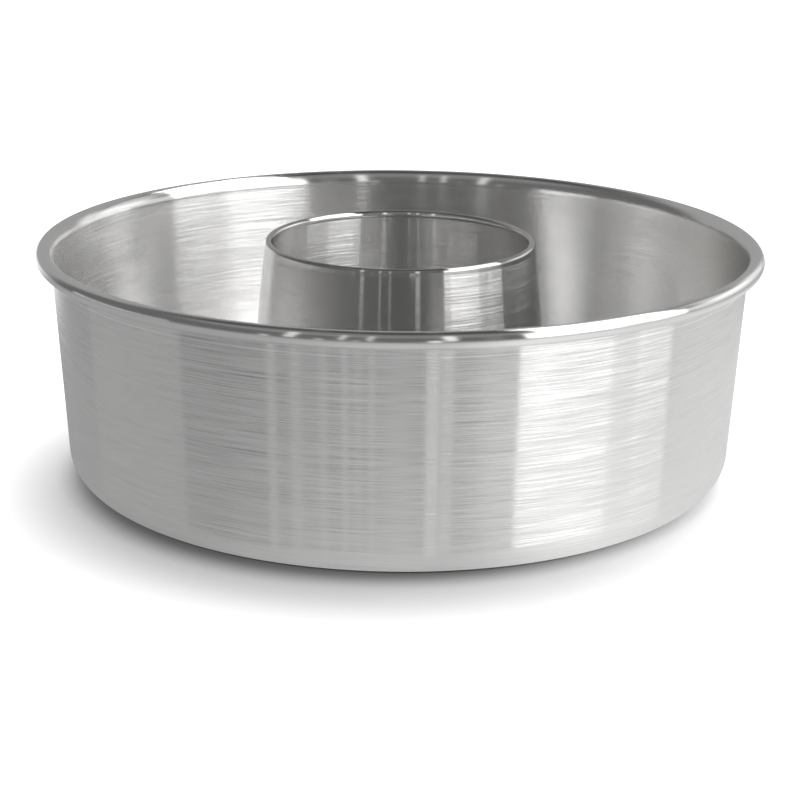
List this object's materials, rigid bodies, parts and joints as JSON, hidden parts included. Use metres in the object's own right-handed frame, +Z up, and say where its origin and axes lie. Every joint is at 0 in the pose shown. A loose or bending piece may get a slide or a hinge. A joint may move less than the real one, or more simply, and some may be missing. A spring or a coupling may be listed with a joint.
{
  "type": "angel food cake pan",
  "caption": "Round aluminium cake pan with a rolled, wired rim and a lift-out core: a flat base plate with a conical centre tube seamed to it.",
  "frame": {"origin": "centre of the flat foot ring, on the surface the pan stands on", "axes": "+Z up along the axis that every piece is turned about; X and Y are level and alike"},
  "size_m": [0.252, 0.252, 0.081],
  "materials": {
    "shell_aluminium": "fine lathe brushing round the pan, bright",
    "plate_aluminium": "fine lathe brushing round the plate, bright",
    "tube_aluminium": "fine lathe brushing round the tube, bright",
    "wire_steel": "plain drawn wire, hidden"
  },
  "bodies": {
    "shell": {"pan_shell": "shell_aluminium", "rim_wire": "wire_steel"},
    "core": {"base_plate": "plate_aluminium", "centre_tube": "tube_aluminium"}
  },
  "joints": [
    {"name": "core_lift", "type": "slide", "parent": "shell", "child": "core", "axis": [0, 0, 1], "range_m": [0, 0.085]}
  ]
}
